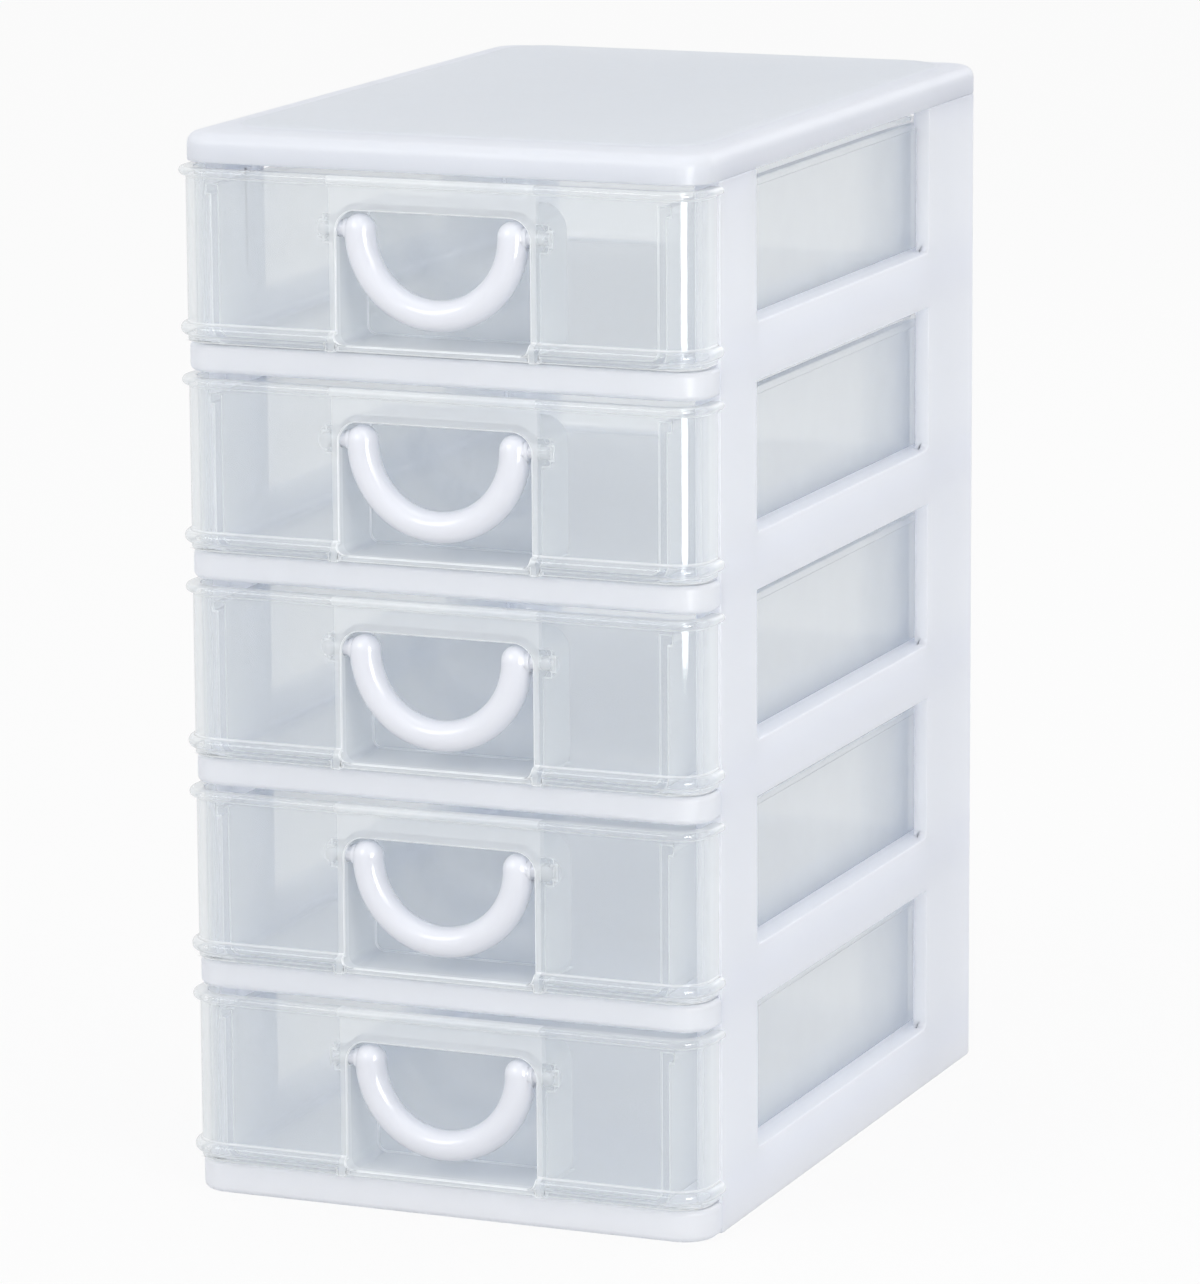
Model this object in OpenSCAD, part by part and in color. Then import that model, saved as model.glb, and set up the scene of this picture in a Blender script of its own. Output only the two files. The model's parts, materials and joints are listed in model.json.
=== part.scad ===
// Desktop tower of five clear drawers in a milky white frame, in millimetres.
// It stands on z = 0 and its drawer fronts face -Y. The origin is the middle of its footprint.
// Inside the modules, y = 0 is the front face of the shelf lips.

/* [Tower] */
// Width over the side frames
tower_w = 133; // [112:1:170]
// Depth of the frame, shelf lips to back
tower_d = 195; // [165:1:240]
// Height of one level, shelf to shelf
level_h = 50; // [46:1:64]
// Radius of the front corners, seen from above
front_r = 8; // [6:0.5:10]
// Radius of the rear corners, seen from above
rear_r = 8.5; // [8:0.5:16]

/* [Frame mouldings] */
// Thickness of the side frames, lips and cover skirt
wall_t = 2.4; // [2:0.1:3]
// How far the shelf lips stand in front of the posts
lip_step = 11.7; // [10.5:0.1:15]
// Width of the front posts along the depth
front_post = 23.6; // [18:0.2:30]
// Width of the rear posts along the depth, round their corners
rear_post = 40; // [28:1:46]
// How far a rear post wraps across the back
rear_wrap = 16.5; // [16.5:0.5:24]
// Height of a side rail
rail_h = 14; // [12:0.5:16]
// Depth of the posts' and rails' channels, across the width
channel_d = 6.5; // [5.5:0.1:8]
// Height of a shelf lip
lip_h = 7; // [6:0.5:8]
// Rounding of the lips' edges
lip_edge = 1.5; // [0.6:0.1:1.8]
// Thickness of a shelf
shelf_t = 2; // [1.6:0.1:2.6]
// How deep a shelf edge sits in its rail
tongue = 2.9; // [2:0.1:3.2]
// Play round a shelf edge in its groove
seat_gap = 0.1; // [0.05:0.05:0.2]

/* [Top cover] */
// Height of the cover at its rim
cover_h = 7; // [6:0.5:9]
// Thickness of the cover
cover_t = 2.6; // [2.2:0.1:3]
// Rounding of the cover's top edge
cover_edge = 3; // [1.5:0.1:3.4]
// How far the raised field stands above the rim
field_up = 0.8; // [0.4:0.1:1.6]
// Width of the field's soft edge
field_edge = 3; // [1.6:0.2:5]
// Width of the rim beside the field
field_side = 6.5; // [4:0.5:12]
// Width of the rim in front of the field
field_front = 12; // [6:0.5:20]
// Width of the rim behind the field
field_rear = 4.5; // [4:0.5:12]
// Radius of the field's corners
field_r = 12; // [6:1:20]

/* [Drawers] */
// Thickness of a drawer front
front_t = 2; // [1.6:0.1:2.4]
// Thickness of a drawer's box
box_t = 1.6; // [1.2:0.1:2]
// Rounding where the box's walls meet its floor
box_foot_r = 4; // [2.5:0.1:5]
// Gap between a drawer front and the lip above it
lip_gap = 1; // [0.8:0.1:1.6]
// Gap between a drawer and the shelf that it slides on
run_gap = 0.4; // [0.3:0.05:0.6]
// Gap between a drawer box and the rails beside it
side_gap = 2.5; // [2:0.1:4]
// Space behind a closed drawer
rear_gap = 15; // [8:1:30]
// How far the box stops below the top of its front
box_drop = 4; // [2:0.5:8]
// Radius of the box's rear corners
box_r = 11; // [8:0.5:16]
// How far the rim of the box stands out
box_bead = 1.2; // [0.8:0.1:1.4]
// Height of the rim of the box
box_rim_h = 2; // [1.4:0.1:3]
// How far the rim and the rib stand out of the front
bead_out = 1.7; // [1.2:0.1:2.2]
// Height of the rim along the top of the front
rim_h = 2; // [1.6:0.1:2.6]
// Height of the rib near the bottom of the front
rib_h = 3; // [2.4:0.1:3.4]
// Height of the rib above the bottom of the front
rib_up = 1.6; // [1.2:0.1:3]
// Width of the webs that end the rib beside the pocket
rib_web_w = 2.6; // [1.6:0.1:4]

/* [Handle pockets] */
// Width of a pocket
pocket_w = 49; // [46.2:0.2:60]
// Depth of a pocket behind the front's outer face
pocket_d = 17.7; // [14:0.1:24]
// Height of the front above a pocket
pocket_top = 8.2; // [6:0.2:10]
// Radius of a pocket's upper corners, round the handle's tips
pocket_r = 5; // [4:0.1:6]
// Radius of a pocket's lower corners
pocket_foot_r = 2.5; // [1:0.1:4]
// How far a pin's boss stands out of the pocket wall
boss_out = 2.2; // [1.4:0.1:3]

/* [Handles] */
// Radius of the handle's curve, to the middle of its bar
bail_r = 19.4; // [15:0.1:19.6]
// Thickness of the handle's bar
bar_d = 7.5; // [5:0.1:7.6]
// Straight length between the curve and the pins
arm_l = 0.2; // [0.2:0.1:3]
// Diameter of a handle's pins
pin_d = 3.6; // [3:0.1:4]
// Gap round a pin in its hole
pin_gap = 0.06; // [0.03:0.01:0.1]
// Distance of the pins behind the front's outer face
pin_back = 2.8; // [2.8:0.1:4]

/* [Hidden] */
LEVELS = 5;
SHELVES = [for (i = [1:LEVELS - 1]) str("shelf_", i)];
DRAWERS = [for (i = [1:LEVELS]) str("drawer_", i)];
HANDLES = [for (i = [1:LEVELS]) str("handle_", i)];

$fn = 64;
eps = 0.01;
white = [0.93, 0.94, 0.97];
clear = [0.78, 0.85, 0.91, 0.55];
gloss = [0.96, 0.96, 0.98];

half_w = tower_w / 2;
shelf_z = lip_gap + lip_h;                  // top of a shelf above its level
cover_z = LEVELS * level_h + lip_gap;       // lower edge of the cover's skirt
rail_x = half_w - channel_d;                // inner face of posts and rails
window_y = [lip_step + front_post, tower_d - rear_post];
rail_top = lip_gap + rail_h;                // top of a rail above its level
flange_x = half_w - rear_wrap;              // where a rear post ends on the back
seat_w = rail_x + tongue;                   // half the width of a shelf, in its grooves
seat_r = seat_w - (half_w - rear_r) - seat_gap;

panel_y = -front_t;                         // outer face of a drawer front
front_inset = 0.5;
panel_w = half_w - front_inset;             // half its width
panel_z = shelf_z + run_gap;                // bottom of a drawer
panel_top = level_h;
wrap_gap = 0.3;
panel_back = lip_step - wrap_gap;           // where a front's side wraps end
box_w = rail_x - side_gap;
box_y = tower_d - rear_gap;
box_top = level_h - box_drop;
floor_z = panel_z + box_t;
pocket_x = pocket_w / 2;
pocket_y = panel_y + pocket_d;
pocket_z = level_h - pocket_top;
bar_r = bar_d / 2;
pin_r = pin_d / 2;
pin_y = panel_y + pin_back;
tip_gap = 0.75;                             // room for the domed tips to turn under the pocket's top
pin_z = pocket_z - bar_r - tip_gap;
boss_wall = 1.4;
boss_r = pin_r + boss_wall;
boss_x = pocket_x + box_t + boss_out;
tip_play = 0.4;                             // play beyond the handle's shoulders and pins
shoulder_r = pin_r + 0.6;
corner_rise = pin_z + shoulder_r - pocket_z + pocket_r;
shoulder_x = pocket_x - pocket_r + sqrt(pocket_r * pocket_r - corner_rise * corner_rise) - tip_play;
middle_y = (tower_d + panel_y - bead_out) / 2;

// Moves the shelf lips' front face from y = 0 to its place over the origin
module on_footprint() {
    translate([0, -middle_y, 0]) children();
}

// Plan outline of the tower, drawn in from its edge by inset
module outline(inset = 0) {
    w = half_w - inset;
    front = front_r - inset;
    rear = max(rear_r - inset, 1);
    for (side = [-1, 1]) {
        translate([side * (w - front), inset + front]) circle(front);
        translate([side * (w - rear), tower_d - inset - rear]) circle(rear);
    }
    translate([front - w, inset]) square([2 * (w - front), tower_d / 2]);
    translate([rear - w, tower_d / 2 - eps]) square([2 * (w - rear), tower_d / 2 - inset + eps]);
    translate([-w, inset + front]) square([2 * w, tower_d - 2 * inset - front - rear]);
}

// Sweeps a profile round the front of an outline: x in the profile points outwards, y points up
module front_sweep(w, y, r, end_y) {
    mid = w - r;
    translate([-mid, y, 0]) mirror([0, 1, 0]) rotate([90, 0, 90]) linear_extrude(2 * mid) children();
    for (side = [0, 1]) mirror([side, 0, 0]) {
        translate([mid, y + r, 0]) rotate(-90) rotate_extrude(angle = 90) translate([r, 0]) children();
        translate([w, end_y, 0]) rotate([90, 0, 0]) linear_extrude(end_y - y - r) children();
    }
}

// Lip profile with rounded outer edges, thick inwards from x = 0 and h high from y = 0
module lip_profile(h) {
    translate([-wall_t, 0]) square([wall_t - lip_edge, h]);
    translate([-wall_t, lip_edge]) square([wall_t, h - 2 * lip_edge]);
    for (y = [lip_edge, h - lip_edge]) translate([-lip_edge, y]) circle(lip_edge);
}

// A shelf: plate, rounded front lip that wraps to the posts, and a lip across the open back
module shelf_moulding(lip_bottom) {
    plate_z = shelf_z - shelf_t;
    translate([0, 0, lip_bottom]) front_sweep(half_w, 0, front_r, lip_step) lip_profile(shelf_z - lip_bottom);
    translate([0, 0, plate_z]) linear_extrude(shelf_t) shelf_plan();
    translate([seat_gap - flange_x, tower_d - wall_t, lip_bottom])
        cube([2 * (flange_x - seat_gap), wall_t, shelf_z - lip_bottom]);
}

// Plan of a shelf plate: its front lies inside the lip and its edges sit in the rails' grooves
module shelf_plan() {
    edge = seat_w - seat_gap;
    intersection() {
        outline(wall_t / 2);
        translate([-half_w, 0]) square([tower_w, lip_step]);
    }
    translate([-edge, lip_step - eps]) square([2 * edge, tower_d - rear_r - lip_step + eps]);
    for (side = [-1, 1]) translate([side * (edge - seat_r), tower_d - rear_r]) circle(seat_r);
    translate([seat_r - edge, lip_step]) square([2 * (edge - seat_r), tower_d - rear_r - lip_step + seat_r]);
    translate([seat_gap - flange_x, lip_step]) square([2 * (flange_x - seat_gap), tower_d - lip_step - eps]);
}

module base() {
    color(white) on_footprint() shelf_moulding(0);
}

module shelf(level) {
    color(white) on_footprint() translate([0, 0, level * level_h]) shelf_moulding(lip_gap);
}

// One side of the frame: two channel posts, five rails with shelf grooves and a tongue for the cover
module side_frame() {
    difference() {
        union() {
            side_wall();
            posts();
            for (level = [0:LEVELS - 1]) translate([0, 0, level * level_h]) rail();
            cover_tongue();
        }
        for (level = [0:LEVELS - 1]) translate([0, 0, level * level_h]) shelf_groove();
    }
}

// Outer wall with a window for each level
module side_wall() {
    difference() {
        translate([half_w - wall_t, lip_step, 0]) cube([wall_t, tower_d - rear_r - lip_step, cover_z]);
        for (level = [0:LEVELS - 1]) translate([half_w, 0, level * level_h]) window();
    }
}

// Window between two rails, with rounded lower corners
module window() {
    r = 1.5;
    span = window_y[1] - window_y[0];
    rise = level_h + lip_gap - rail_top;
    translate([-2 * wall_t, window_y[0], rail_top]) {
        translate([0, 0, r]) cube([3 * wall_t, span, rise - r]);
        translate([0, r, 0]) cube([3 * wall_t, span - 2 * r, rise]);
        for (y = [r, span - r]) translate([0, y, r]) rotate([0, 90, 0]) cylinder(h = 3 * wall_t, r = r);
    }
}

module posts() {
    depth = channel_d - wall_t + eps;
    for (y = [lip_step, window_y[0] - wall_t])
        translate([rail_x, y, 0]) cube([depth, wall_t, cover_z]);
    stub_x = seat_w - seat_gap;
    translate([stub_x, window_y[1], 0]) cube([half_w - wall_t - stub_x + eps, wall_t, cover_z]);
    linear_extrude(cover_z) intersection() {
        difference() {
            outline();
            outline(wall_t);
        }
        translate([flange_x, window_y[1]]) square([tower_w, rear_post]);
    }
}

// Rail: a top flange, an inner web that guides the drawer, and a ledge under the shelf edge
module rail() {
    length = tower_d - rear_r - lip_step - wall_t + eps;
    depth = channel_d - wall_t + eps;
    translate([rail_x, lip_step + wall_t - eps, 0]) {
        translate([0, 0, rail_top - shelf_t]) cube([depth, length, shelf_t]);
        translate([0, 0, shelf_z + seat_gap]) cube([shelf_t, length, rail_top - shelf_z - seat_gap]);
        translate([0, 0, shelf_z - 2 * shelf_t - seat_gap]) cube([depth, length, shelf_t]);
    }
}

module shelf_groove() {
    translate([rail_x - 1, lip_step - 1, shelf_z - shelf_t - seat_gap])
        cube([seat_w - rail_x + 1, tower_d - rear_r - lip_step + 1, shelf_t + 2 * seat_gap]);
}

// Tongue that stands up inside the cover's skirt
module cover_tongue() {
    foot = 5;
    region_y = lip_step + wall_t / 2;
    height = cover_h - cover_t - seat_gap;
    translate([0, 0, cover_z]) linear_extrude(height) tongue_plan(region_y, tower_d);
    translate([0, 0, cover_z - foot]) linear_extrude(foot) {
        tongue_plan(region_y, window_y[0]);
        tongue_plan(window_y[1], tower_d);
    }
}

module tongue_plan(from_y, to_y) {
    intersection() {
        difference() {
            outline(wall_t + seat_gap - eps);
            outline(wall_t + shelf_t);
        }
        translate([flange_x, from_y]) square([tower_w, to_y - from_y]);
    }
}

module right_side_frame() {
    color(white) on_footprint() side_frame();
}

module left_side_frame() {
    color(white) on_footprint() mirror([1, 0, 0]) side_frame();
}

// Top cover: a shallow lid with a rounded edge and a low raised field, hollow from below
module top_cover() {
    hollow_h = cover_h - cover_t;
    color(white) on_footprint() translate([0, 0, cover_z]) difference() {
        union() {
            linear_extrude(cover_h - cover_edge) outline();
            translate([0, 0, cover_h - cover_edge]) cover_rounding();
            translate([0, 0, cover_h]) field();
        }
        translate([0, 0, -1]) linear_extrude(hollow_h + 1) outline(wall_t);
        translate([0, 0, hollow_h - eps]) linear_extrude(field_up + eps) field_top();
    }
}

// Quarter-round edge over the whole outline
module cover_rounding() {
    linear_extrude(cover_edge) outline(cover_edge);
    front_sweep(half_w, 0, front_r, tower_d / 2) round_edge(cover_edge, cover_edge);
    translate([0, tower_d, 0]) mirror([0, 1, 0])
        front_sweep(half_w, 0, rear_r, tower_d / 2) round_edge(cover_edge, cover_edge);
}

// Profile of an edge that rises to height over width in one arc, level at its top
module round_edge(width, height) {
    r = (width * width + height * height) / (2 * height);
    intersection() {
        translate([-width, height - r]) circle(r, $fn = 4 * $fn);
        translate([-width, 0]) square([width, height]);
    }
}

// Raised field of the cover with its soft edge
module field() {
    mid_y = tower_d / 2;
    w = half_w - field_side;
    front_sweep(w, field_front, field_r, mid_y) round_edge(field_edge, field_up);
    translate([0, tower_d, 0]) mirror([0, 1, 0])
        front_sweep(w, field_rear, field_r, mid_y) round_edge(field_edge, field_up);
    translate([0, 0, -eps]) linear_extrude(field_up + eps) field_top();
}

module field_top() {
    w = half_w - field_side - field_edge;
    r = field_r - field_edge;
    from_y = field_front + field_edge;
    to_y = tower_d - field_rear - field_edge;
    for (side = [-1, 1], y = [from_y + r, to_y - r]) translate([side * (w - r), y]) circle(r);
    translate([-w, from_y + r]) square([2 * w, to_y - from_y - 2 * r]);
    translate([r - w, from_y]) square([2 * (w - r), to_y - from_y]);
}

// Drawer: a wrapped front with rim and rib, a box behind it and a pocket for the handle
module drawer(level) {
    color(clear) on_footprint() translate([0, 0, level * level_h]) difference() {
        union() {
            front_sweep(panel_w, panel_y, front_r, panel_back) front_profile();
            rib_ends();
            box();
            pocket_block();
            bosses();
        }
        pocket_space();
        pin_holes();
    }
}

// Section of the drawer front: panel, rim along its top and rib near its bottom
module front_profile() {
    rim_r = rim_h / 2;
    rib_r = rib_h / 2;
    rib_z = panel_z + rib_up;
    translate([-front_t, panel_z]) square([front_t, panel_top - panel_z]);
    translate([-front_t, panel_top - rim_h]) square([front_t + bead_out - rim_r, rim_h]);
    translate([bead_out - rim_r, panel_top - rim_r]) circle(rim_r);
    translate([-front_t, rib_z]) square([front_t + bead_out - rib_r, rib_h]);
    translate([bead_out - rib_r, rib_z + rib_r]) circle(rib_r);
}

// Webs that close the rib's hollow beside the pocket
module rib_ends() {
    web_out = bead_out - 0.2;
    web_h = rib_up + rib_h / 2;
    for (side = [0, 1]) mirror([side, 0, 0])
        translate([pocket_x, panel_y - web_out, panel_z]) cube([rib_web_w, web_out + front_t / 2, web_h]);
}

// Box behind the front: its wall runs round the sides and the back, and its floor is level
module box() {
    length = box_y + front_t / 2;
    translate([0, box_y, panel_z]) mirror([0, 1, 0]) front_sweep(box_w, 0, box_r, length) box_wall();
    translate([0, 0, panel_z]) linear_extrude(box_t) box_floor();
}

// Section of the box's wall, with its rim and the round foot that joins the floor
module box_wall() {
    height = box_top - panel_z;
    translate([-box_t, box_foot_r]) square([box_t, height - box_foot_r]);
    translate([-box_t, height - box_rim_h]) square([box_t + box_bead, box_rim_h]);
    translate([-box_foot_r - 1, 0]) square([1, box_t]);
    intersection() {
        translate([-box_foot_r, box_foot_r]) difference() {
            circle(box_foot_r);
            circle(box_foot_r - box_t);
        }
        translate([-box_foot_r, 0]) square(box_foot_r);
    }
}

module box_floor() {
    w = box_w - box_foot_r;
    r = box_r - box_foot_r;
    end_y = box_y - box_foot_r;
    for (side = [-1, 1]) translate([side * (w - r), end_y - r]) circle(r);
    translate([-w, -front_t / 2]) square([2 * w, end_y - r + front_t / 2]);
    translate([r - w, 0]) square([2 * (w - r), end_y]);
}

// Opening of a pocket seen from the front, grown outwards by grow
module pocket_shape(grow = 0) {
    w = pocket_x + grow;
    low = floor_z - grow;
    high = pocket_z + grow;
    top_r = pocket_r + grow;
    foot_r = pocket_foot_r + grow;
    for (side = [-1, 1]) {
        translate([side * (w - top_r), high - top_r]) circle(top_r);
        translate([side * (w - foot_r), low + foot_r]) circle(foot_r);
    }
    translate([-w, low + foot_r]) square([2 * w, high - low - top_r - foot_r]);
    translate([foot_r - w, low]) square([2 * (w - foot_r), high - low - top_r]);
    translate([top_r - w, low + foot_r]) square([2 * (w - top_r), high - low - foot_r]);
}

module pocket_block() {
    translate([0, pocket_y + box_t, 0]) rotate([90, 0, 0])
        linear_extrude(pocket_y + box_t + front_t / 2) pocket_shape(box_t);
}

module pocket_space() {
    translate([0, pocket_y, 0]) rotate([90, 0, 0]) linear_extrude(pocket_d + bead_out + 1) pocket_shape();
}

module bosses() {
    intersection() {
        translate([-boss_x, pin_y, pin_z]) rotate([0, 90, 0]) cylinder(h = 2 * boss_x, r = boss_r);
        translate([-boss_x, -front_t / 2, panel_z]) cube([2 * boss_x, pocket_d, level_h]);
    }
}

module pin_holes() {
    length = 2 * boss_x + 2;
    translate([-length / 2, pin_y, pin_z]) rotate([0, 90, 0]) cylinder(h = length, r = pin_r + pin_gap);
}

// Handle: a half-round bail hanging from two pins, with domed ends and shoulders
module handle(level) {
    color(gloss) on_footprint() translate([0, pin_y, level * level_h + pin_z]) {
        translate([0, 0, -arm_l]) rotate([90, 0, 0]) rotate([0, 0, 180])
            rotate_extrude(angle = 180) translate([bail_r, 0]) circle(bar_r);
        for (side = [-1, 1]) translate([side * bail_r, 0, 0]) {
            translate([0, 0, -arm_l]) cylinder(h = arm_l, r = bar_r);
            sphere(bar_r);
            rotate([0, side * 90, 0]) {
                cylinder(h = shoulder_x - bail_r, r = shoulder_r);
                cylinder(h = boss_x - bail_r - tip_play, r = pin_r);
            }
        }
    }
}

base();
left_side_frame();
right_side_frame();
top_cover();
for (i = [1:LEVELS - 1]) shelf(i);
for (i = [1:LEVELS]) drawer(i - 1);
for (i = [1:LEVELS]) handle(i - 1);
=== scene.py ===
import json
import math

import bmesh
import bpy
from mathutils import Matrix, Vector

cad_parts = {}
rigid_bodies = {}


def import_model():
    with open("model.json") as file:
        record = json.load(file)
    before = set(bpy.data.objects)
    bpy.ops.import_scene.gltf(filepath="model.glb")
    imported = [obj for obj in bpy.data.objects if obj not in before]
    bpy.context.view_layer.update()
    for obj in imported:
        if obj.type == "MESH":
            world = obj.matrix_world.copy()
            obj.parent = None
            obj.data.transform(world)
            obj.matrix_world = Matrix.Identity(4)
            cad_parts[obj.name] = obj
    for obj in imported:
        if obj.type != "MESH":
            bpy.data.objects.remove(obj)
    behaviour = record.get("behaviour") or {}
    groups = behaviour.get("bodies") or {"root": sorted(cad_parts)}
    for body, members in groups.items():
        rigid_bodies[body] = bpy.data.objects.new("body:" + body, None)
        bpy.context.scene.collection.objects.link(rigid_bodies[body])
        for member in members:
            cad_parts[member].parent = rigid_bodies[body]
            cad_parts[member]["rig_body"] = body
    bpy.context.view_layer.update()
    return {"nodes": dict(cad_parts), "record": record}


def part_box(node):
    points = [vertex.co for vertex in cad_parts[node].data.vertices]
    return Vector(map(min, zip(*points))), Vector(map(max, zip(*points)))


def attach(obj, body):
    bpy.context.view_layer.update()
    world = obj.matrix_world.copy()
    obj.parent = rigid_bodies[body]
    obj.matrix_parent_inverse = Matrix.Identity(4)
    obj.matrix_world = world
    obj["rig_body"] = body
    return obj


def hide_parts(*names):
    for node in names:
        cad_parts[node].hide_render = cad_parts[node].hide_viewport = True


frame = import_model()
scene = bpy.context.scene
print("frame loaded:", len(frame["nodes"]), "nodes")

photoCamera = {
    "target": (0.00065, 0.00185, 0.1219),
    "azimuth": 22.373,  # degrees, from the front towards the right side
    "elevation": 11.557,
    "roll": -0.336,
    "distance": 1.69475,
    "focalPixels": 6823.6,  # in an image 1284 pixels high
    "imageHeight": 1284,
    "sensor": 36.0,
}


def aimCamera(spec):
    a = math.radians(spec["azimuth"])
    e = math.radians(spec["elevation"])
    r = math.radians(spec["roll"])
    back = Vector((math.sin(a) * math.cos(e), -math.cos(a) * math.cos(e), math.sin(e)))
    level = Vector((math.cos(a), math.sin(a), 0.0))
    right = level * math.cos(r) + back.cross(level) * math.sin(r)
    up = back.cross(right)
    lens = bpy.data.cameras.new("camera")
    lens.sensor_width = spec["sensor"]
    lens.lens = spec["focalPixels"] / spec["imageHeight"] * spec["sensor"]
    lens.clip_start = 0.05
    lens.clip_end = 50.0
    cam = bpy.data.objects.new("camera", lens)
    turn = Matrix((right, up, back)).transposed().to_4x4()
    cam.matrix_world = Matrix.Translation(Vector(spec["target"]) + back * spec["distance"]) @ turn
    scene.collection.objects.link(cam)
    scene.camera = cam


aimCamera(photoCamera)

studio = {
    "world": 0.94,  # light of the surroundings on the object
    "seen": 1.0,  # how bright they are seen, 1 is white
    "floorTone": 0.62,
    "floorGlow": 0.9,  # share of the floor that is seen as plain white
    "floorSize": 12.0,
    "middle": 0.13,  # the lamps point at this height
}

lamps = {
    # name: (azimuth, elevation, distance, width, height, power), degrees, metres and watts
    "front": (-28, 30, 1.8, 0.9, 0.6, 7.0),
    "overhead": (20, 80, 1.5, 0.9, 0.9, 3.0),
    "behind": (160, 24, 1.4, 0.9, 0.6, 2.4),
    "rightFront": (50, 18, 0.9, 0.4, 0.5, 1.9),
    "rightStrip": (44, 3.2, 0.62, 0.17, 0.27, 1.9),
}
glints = ("rightStrip",)  # lamps that only show as reflections


def seenDirectly(tree):
    # 1 for rays that show the surroundings: camera, mirror and glass rays
    path = tree.nodes.new("ShaderNodeLightPath")
    first = tree.nodes.new("ShaderNodeMath")
    first.operation = "MAXIMUM"
    second = tree.nodes.new("ShaderNodeMath")
    second.operation = "MAXIMUM"
    tree.links.new(path.outputs["Is Camera Ray"], first.inputs[0])
    tree.links.new(path.outputs["Is Glossy Ray"], first.inputs[1])
    tree.links.new(first.outputs[0], second.inputs[0])
    tree.links.new(path.outputs["Is Transmission Ray"], second.inputs[1])
    return second.outputs[0]


def makeWorld():
    world = bpy.data.worlds.new("studio")
    world.use_nodes = True
    tree = world.node_tree
    ground = tree.nodes["Background"]
    ground.inputs["Color"].default_value = (1.0, 1.0, 1.0, 1.0)
    strength = tree.nodes.new("ShaderNodeMapRange")
    strength.inputs["To Min"].default_value = studio["world"]
    strength.inputs["To Max"].default_value = studio["seen"]
    tree.links.new(seenDirectly(tree), strength.inputs["Value"])
    tree.links.new(strength.outputs["Result"], ground.inputs["Strength"])
    scene.world = world


def makeFloor():
    shape = bmesh.new()
    bmesh.ops.create_grid(shape, x_segments=1, y_segments=1, size=studio["floorSize"] / 2)
    mesh = bpy.data.meshes.new("floor")
    shape.to_mesh(mesh)
    shape.free()
    floor = bpy.data.objects.new("floor", mesh)
    scene.collection.objects.link(floor)
    mat = bpy.data.materials.new("paleFloor")
    mat.use_nodes = True
    tree = mat.node_tree
    tree.nodes.clear()
    tone = studio["floorTone"]
    matte = tree.nodes.new("ShaderNodeBsdfDiffuse")
    matte.inputs["Color"].default_value = (tone, tone, tone, 1.0)
    glow = tree.nodes.new("ShaderNodeEmission")
    share = tree.nodes.new("ShaderNodeMath")
    share.operation = "MULTIPLY"
    share.inputs[1].default_value = studio["floorGlow"]
    blend = tree.nodes.new("ShaderNodeMixShader")
    out = tree.nodes.new("ShaderNodeOutputMaterial")
    tree.links.new(seenDirectly(tree), share.inputs[0])
    tree.links.new(share.outputs[0], blend.inputs[0])
    tree.links.new(matte.outputs[0], blend.inputs[1])
    tree.links.new(glow.outputs[0], blend.inputs[2])
    tree.links.new(blend.outputs[0], out.inputs["Surface"])
    mesh.materials.append(mat)


def hangLamps():
    middle = Vector((0.0, 0.0, studio["middle"]))
    for name, (azimuth, elevation, distance, width, height, power) in lamps.items():
        a = math.radians(azimuth)
        e = math.radians(elevation)
        away = Vector((math.sin(a) * math.cos(e), -math.cos(a) * math.cos(e), math.sin(e)))
        light = bpy.data.lights.new(name, "AREA")
        light.shape = "RECTANGLE"
        light.size = width
        light.size_y = height
        light.energy = power
        lamp = bpy.data.objects.new(name, light)
        lamp.location = middle + away * distance
        lamp.rotation_euler = away.to_track_quat("Z", "Y").to_euler()
        lamp.visible_camera = False
        lamp.visible_transmission = False
        lamp.visible_diffuse = name not in glints
        scene.collection.objects.link(lamp)


makeWorld()
makeFloor()
hangLamps()
scene.view_settings.view_transform = "Standard"
scene.cycles.use_denoising = True
scene.cycles.max_bounces = 40
scene.cycles.diffuse_bounces = 16
scene.cycles.glossy_bounces = 10
scene.cycles.transmission_bounces = 20
scene.cycles.transparent_max_bounces = 40
scene.cycles.caustics_reflective = True
print("studio set")


def newTree(name):
    mat = bpy.data.materials.new(name)
    mat.use_nodes = True
    tree = mat.node_tree
    return mat, tree, tree.nodes["Principled BSDF"]


def noise(tree, scale):
    place = tree.nodes.new("ShaderNodeTexCoord")
    grain = tree.nodes.new("ShaderNodeTexNoise")
    grain.inputs["Scale"].default_value = scale
    grain.inputs["Detail"].default_value = 3.0
    tree.links.new(place.outputs["Object"], grain.inputs["Vector"])
    return grain.outputs["Fac"]


def ranged(tree, value, low, high, fromLow=0.3, fromHigh=0.7):
    # a noise mostly lies between 0.3 and 0.7
    band = tree.nodes.new("ShaderNodeMapRange")
    band.inputs["From Min"].default_value = fromLow
    band.inputs["From Max"].default_value = fromHigh
    band.inputs["To Min"].default_value = low
    band.inputs["To Max"].default_value = high
    tree.links.new(value, band.inputs["Value"])
    return band.outputs["Result"]


def maths(tree, operation, first, second=0.0):
    step = tree.nodes.new("ShaderNodeMath")
    step.operation = operation
    for socket, value in zip(step.inputs, (first, second)):
        if isinstance(value, (int, float)):
            socket.default_value = value
        else:
            tree.links.new(value, socket)
    return step.outputs[0]


def blended(tree, value, first, second):
    mix = tree.nodes.new("ShaderNodeMix")
    mix.data_type = "RGBA"
    for socket, colour in ((mix.inputs["A"], first), (mix.inputs["B"], second)):
        if isinstance(colour, tuple):
            socket.default_value = (*colour, 1.0)
        else:
            tree.links.new(colour, socket)
    tree.links.new(value, mix.inputs["Factor"])
    return mix.outputs["Result"]


def mottled(tree, value, colour, spread):
    darker = tuple(c * (1 - spread) for c in colour)
    lighter = tuple(min(c * (1 + spread), 1.0) for c in colour)
    return blended(tree, value, darker, lighter)


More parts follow.
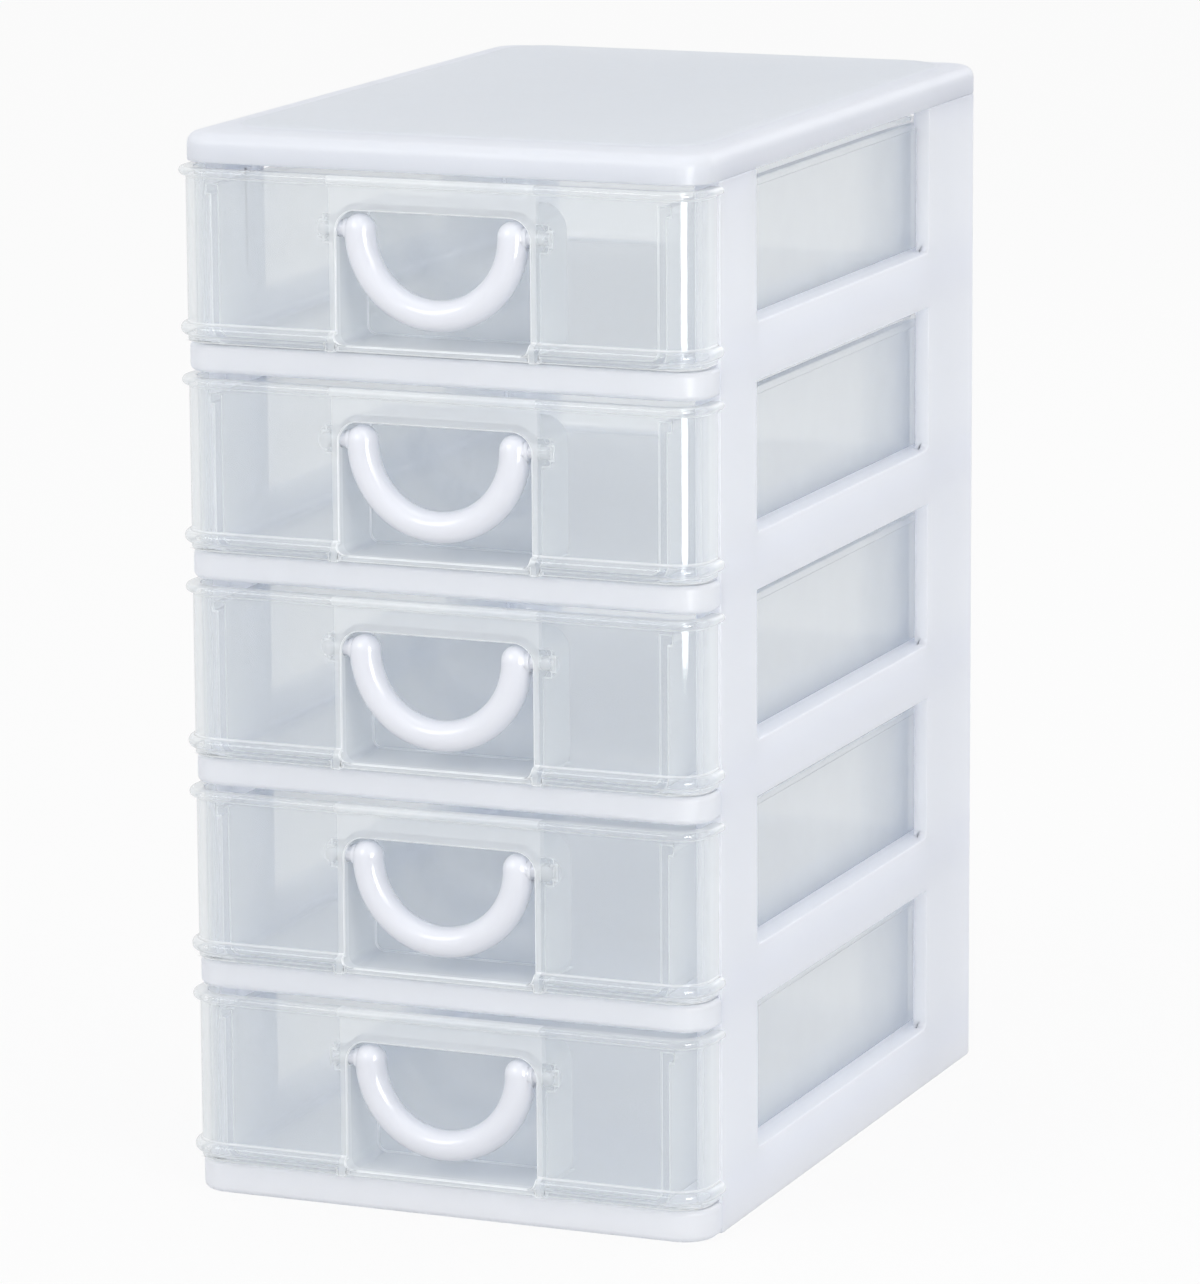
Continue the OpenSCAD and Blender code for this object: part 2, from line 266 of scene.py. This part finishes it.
def bumpy(tree, value, distance):
    bump = tree.nodes.new("ShaderNodeBump")
    bump.inputs["Distance"].default_value = distance
    tree.links.new(value, bump.inputs["Height"])
    return bump.outputs["Normal"]


def mixed(tree, share, first, second):
    mix = tree.nodes.new("ShaderNodeMixShader")
    if isinstance(share, float):
        mix.inputs[0].default_value = share
    else:
        tree.links.new(share, mix.inputs[0])
    tree.links.new(first, mix.inputs[1])
    tree.links.new(second, mix.inputs[2])
    return mix.outputs[0]


def along(tree, axis):
    place = tree.nodes.new("ShaderNodeTexCoord")
    parts = tree.nodes.new("ShaderNodeSeparateXYZ")
    tree.links.new(place.outputs["Object"], parts.inputs[0])
    return parts.outputs[axis]


def sideways(tree):
    # distance from the middle plane, the same on the left and the right
    return maths(tree, "ABSOLUTE", along(tree, "X"))


def edgeOn(tree, power):
    # 0 where a surface is seen square on, 1 where it is seen edge on
    layer = tree.nodes.new("ShaderNodeLayerWeight")
    layer.inputs["Blend"].default_value = 0.5
    return maths(tree, "POWER", layer.outputs["Facing"], power)


def glowing(tree, share, shader, colour):
    # part of the light that falls on a thin wall comes out on its far side
    back = tree.nodes.new("ShaderNodeBsdfTranslucent")
    back.inputs["Color"].default_value = (*colour, 1.0)
    return mixed(tree, share, shader.outputs[0], back.outputs[0])


milky = {
    "colour": (0.945, 0.958, 0.99),
    "cloud": 0.012,  # how much its tone varies
    "cloudScale": 28.0,
    "rough": (0.3, 0.39),
    "roughScale": 90.0,
    "grain": 0.00002,  # height of its fine moulded texture
    "grainScale": 900.0,
    "soft": 1.0,
    "reach": 0.003,  # how far light spreads inside it
    "ior": 1.49,
    "through": 0.45,  # share of the light that passes a wall's skin
}
lid = {
    # painted shade: the lid takes a darker tone than the rest of the same milky plastic
    "colour": (0.83, 0.845, 0.88),
    # painted shade: the top field's darker tone stands for the light falling on it; its roughness and
    # grain are its textured finish
    "fieldShadedColour": (0.73, 0.752, 0.768),
    "fieldCloud": 0.03,
    "fieldCloudScale": 700.0,
    "fieldRough": 0.21,  # how much rougher the field is
    "fieldGrain": 0.00006,
    "fieldGrainScale": 1100.0,
    "fieldEdge": (0.0007, 0.0002),  # where its soft edge starts and ends, below the lid's top
}
clear = {
    "haze": (0.105, 0.135),  # share of each face that is white fog
    "hazeScale": 35.0,
    "frontHaze": 0.08,  # more of it on the front panel
    "bossHaze": 0.06,  # round the handles' pins
    "pocketHaze": 0.2,  # in the pocket's walls
    "backHaze": 0.22,  # on the box's rear wall
    "edgePaintedHighlight": 0.35,  # painted highlight: more white fog on the panel's rounded edges, standing in for the light they carry inside
    "grazingHaze": 0.7,  # and where a wall is seen edge on
    "grazingPower": 2.0,
    "through": 0.4,  # share of the fog's light that comes from behind
    "fog": (0.95, 0.966, 0.974),
    "fogRough": 0.5,
    "tint": (0.983, 0.99, 0.992),
    "mirror": 0.045,  # share of light that a face mirrors when seen square on
    "mirrorEdge": 0.9,  # more of it edge on
    "mirrorPower": 5.0,
    "rough": 0.05,
}
drawerPlaces = {
    "frontDepth": -0.0954,  # the panel lies ahead of this depth
    "frontSide": 0.0585,  # and its wrapped ends outside this width
    "pocketSide": 0.0262,  # the pocket's walls lie inside this width
    "pocketDepth": -0.0775,  # and ahead of this depth
    "backDepth": 0.0782,  # the rear wall lies behind this depth
    "edgeDepth": -0.078,  # the edges with the painted highlight lie ahead of this depth
    "boss": (0.0275, -0.09485, 0.0373),  # middle of a pin's boss on the bottom level
    "bossReach": (0.003, 0.005),  # its haze fades between these distances
    "level": 0.05,  # from one drawer to the next
}
gloss = {
    "colour": (0.69, 0.705, 0.755),
    "cloud": 0.01,
    "cloudScale": 60.0,
    "pin": (0.6, 0.63, 0.67),  # painted shade: the pins are darker than the handle, for the shade they lie in inside the pocket walls, where they show through their bosses
    "pinFrom": 0.0246,  # they lie outside this width
    "rough": (0.1, 0.16),
    "roughScale": 160.0,
    "soft": 0.5,
    "reach": 0.004,
    "ior": 1.5,
}


def milkyPlastic(name, colour, isLid=False):
    mat, tree, shader = newTree(name)
    skin = mottled(tree, noise(tree, milky["cloudScale"]), colour, milky["cloud"])
    rough = ranged(tree, noise(tree, milky["roughScale"]), *milky["rough"])
    grain = maths(tree, "MULTIPLY", noise(tree, milky["grainScale"]), milky["grain"])
    if isLid:
        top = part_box("top_cover")[1].z
        low, high = [top - drop for drop in lid["fieldEdge"]]
        inField = ranged(tree, along(tree, "Z"), 0.0, 1.0, low, high)
        clouds = noise(tree, lid["fieldCloudScale"])
        # painted shade: the field takes the darker tone
        skin = blended(tree, inField, skin, mottled(tree, clouds, lid["fieldShadedColour"], lid["fieldCloud"]))
        rough = maths(tree, "ADD", rough, maths(tree, "MULTIPLY", inField, lid["fieldRough"]))
        fine = maths(tree, "MULTIPLY", noise(tree, lid["fieldGrainScale"]), lid["fieldGrain"])
        grain = maths(tree, "ADD", grain, maths(tree, "MULTIPLY", fine, inField))
    tree.links.new(skin, shader.inputs["Base Color"])
    tree.links.new(rough, shader.inputs["Roughness"])
    tree.links.new(bumpy(tree, grain, 1.0), shader.inputs["Normal"])
    shader.inputs["Subsurface Weight"].default_value = milky["soft"]
    shader.inputs["Subsurface Radius"].default_value = (1.0, 1.0, 1.0)
    shader.inputs["Subsurface Scale"].default_value = milky["reach"]
    shader.inputs["IOR"].default_value = milky["ior"]
    out = tree.nodes["Material Output"]
    tree.links.new(glowing(tree, milky["through"], shader, colour), out.inputs["Surface"])
    return mat


def nearBoss(tree):
    # 1 at the bosses on both sides of every pocket, fading over a few millimetres
    x, y, z = drawerPlaces["boss"]
    height = maths(tree, "MODULO", along(tree, "Z"), drawerPlaces["level"])
    apart = tree.nodes.new("ShaderNodeCombineXYZ")
    tree.links.new(maths(tree, "SUBTRACT", sideways(tree), x), apart.inputs["X"])
    tree.links.new(maths(tree, "SUBTRACT", along(tree, "Y"), y), apart.inputs["Y"])
    tree.links.new(maths(tree, "SUBTRACT", height, z), apart.inputs["Z"])
    reach = tree.nodes.new("ShaderNodeVectorMath")
    reach.operation = "LENGTH"
    tree.links.new(apart.outputs[0], reach.inputs[0])
    return ranged(tree, reach.outputs["Value"], 1.0, 0.0, *drawerPlaces["bossReach"])


def inPanel(tree):
    ahead = maths(tree, "LESS_THAN", along(tree, "Y"), drawerPlaces["frontDepth"])
    aside = maths(tree, "GREATER_THAN", sideways(tree), drawerPlaces["frontSide"])
    return maths(tree, "MAXIMUM", ahead, aside)


def inPocket(tree):
    between = maths(tree, "LESS_THAN", sideways(tree), drawerPlaces["pocketSide"])
    ahead = maths(tree, "LESS_THAN", along(tree, "Y"), drawerPlaces["pocketDepth"])
    return maths(tree, "MULTIPLY", between, ahead)


def atBack(tree):
    return maths(tree, "GREATER_THAN", along(tree, "Y"), drawerPlaces["backDepth"])


def clearPlastic(name, extraHaze=0.0):
    # see-through with a share of white fog, under a mirroring skin
    mat, tree, fog = newTree(name)
    fog.inputs["Base Color"].default_value = (*clear["fog"], 1.0)
    fog.inputs["Roughness"].default_value = clear["fogRough"]
    fog.inputs["Specular IOR Level"].default_value = 0.0
    sight = tree.nodes.new("ShaderNodeBsdfTransparent")
    sight.inputs["Color"].default_value = (*clear["tint"], 1.0)
    haze = ranged(tree, noise(tree, clear["hazeScale"]), *clear["haze"])
    shares = (
        (inPanel(tree), clear["frontHaze"]),
        (nearBoss(tree), clear["bossHaze"]),
        (inPocket(tree), clear["pocketHaze"]),
        (atBack(tree), clear["backHaze"]),
        (edgeOn(tree, clear["grazingPower"]), clear["grazingHaze"]),
    )
    for where, share in shares:
        haze = maths(tree, "ADD", haze, maths(tree, "MULTIPLY", where, share))
    haze = maths(tree, "ADD", haze, extraHaze)
    fogged = glowing(tree, clear["through"], fog, clear["fog"])
    body = mixed(tree, haze, sight.outputs[0], fogged)
    shine = tree.nodes.new("ShaderNodeBsdfAnisotropic")
    shine.distribution = "GGX"
    shine.inputs["Roughness"].default_value = clear["rough"]
    grazing = maths(tree, "MULTIPLY", edgeOn(tree, clear["mirrorPower"]), clear["mirrorEdge"])
    mirror = maths(tree, "ADD", grazing, clear["mirror"])
    out = tree.nodes["Material Output"]
    tree.links.new(mixed(tree, mirror, body, shine.outputs[0]), out.inputs["Surface"])
    return mat


def glossyWhite(name):
    mat, tree, shader = newTree(name)
    colour = mottled(tree, noise(tree, gloss["cloudScale"]), gloss["colour"], gloss["cloud"])
    inShadedPin = maths(tree, "GREATER_THAN", sideways(tree), gloss["pinFrom"])
    rough = ranged(tree, noise(tree, gloss["roughScale"]), *gloss["rough"])
    # painted shade: the pins take the darker pin colour
    tree.links.new(blended(tree, inShadedPin, colour, gloss["pin"]), shader.inputs["Base Color"])
    tree.links.new(rough, shader.inputs["Roughness"])
    shader.inputs["Subsurface Weight"].default_value = gloss["soft"]
    shader.inputs["Subsurface Radius"].default_value = (1.0, 1.0, 1.0)
    shader.inputs["Subsurface Scale"].default_value = gloss["reach"]
    shader.inputs["IOR"].default_value = gloss["ior"]
    return mat


finishes = {
    "frame_white": milkyPlastic("milkyPlastic", milky["colour"]),
    "drawer_clear": clearPlastic("clearPlastic"),
    "handle_white": glossyWhite("glossyWhite"),
}
# painted shade: the lid is a darker copy of the milky plastic
shadedLidFinish = milkyPlastic("milkyLidShaded", lid["colour"], isLid=True)
# painted highlight: a hazier copy of the clear plastic for the rounded front edges
paintedEdgeHighlight = clearPlastic("clearEdgePaintedHighlight", clear["edgePaintedHighlight"])
print("materials made")

edges = {
    "frame_white": {"width": 0.0004, "segments": 2},
    "drawer_clear": {"width": 0.0004, "segments": 2},
    "handle_white": {"width": 0.0002, "segments": 2},
}
cleaning = {
    "sharp": 35,  # degrees, edges that turn more than this are rounded
    "flat": 0.3,  # degrees, faces that turn less than this are joined
    "merge": 0.000002,
}


def softened(node, name, slotName, finish):
    # a merged copy of the node's mesh, with its sharp edges rounded
    cad = frame["nodes"][node]
    spec = edges[slotName]
    shape = bmesh.new()
    shape.from_mesh(cad.data)
    bmesh.ops.remove_doubles(shape, verts=shape.verts, dist=cleaning["merge"])
    flat = math.radians(cleaning["flat"])
    bmesh.ops.dissolve_limit(shape, angle_limit=flat, verts=shape.verts, edges=shape.edges)
    bmesh.ops.connect_verts_concave(shape, faces=shape.faces)  # ring-shaped faces would fold in the bevel
    sharp = math.radians(cleaning["sharp"])
    rim = [e for e in shape.edges if len(e.link_faces) == 2 and e.calc_face_angle() > sharp]
    rounded = bmesh.ops.bevel(
        shape,
        geom=rim,
        offset=spec["width"],
        offset_type="OFFSET",
        affect="EDGES",
        segments=spec["segments"],
        profile=0.5,
        material=-1,
        clamp_overlap=False,
    )
    for face in shape.faces:
        face.smooth = True
    if slotName == "drawer_clear":
        # painted highlight: rounded faces near the front take the hazier edge material
        for face in rounded["faces"]:
            if face.calc_center_median().y < drawerPlaces["edgeDepth"]:
                face.material_index = 1
    mesh = bpy.data.meshes.new(name)
    shape.to_mesh(mesh)
    shape.free()
    mesh.materials.append(finish)
    if slotName == "drawer_clear":
        mesh.materials.append(paintedEdgeHighlight)
    piece = bpy.data.objects.new(name, mesh)
    scene.collection.objects.link(piece)
    even = piece.modifiers.new("even", "WEIGHTED_NORMAL")
    even.keep_sharp = True
    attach(piece, cad["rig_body"])
    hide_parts(node)
    return piece


slots = {part["node"]: part["material_slot"] for part in frame["record"]["subparts"]}
for node in sorted(frame["nodes"]):
    finish = shadedLidFinish if node == "top_cover" else finishes[slots[node]]
    softened(node, node + "_shell", slots[node], finish)
print("pieces made")
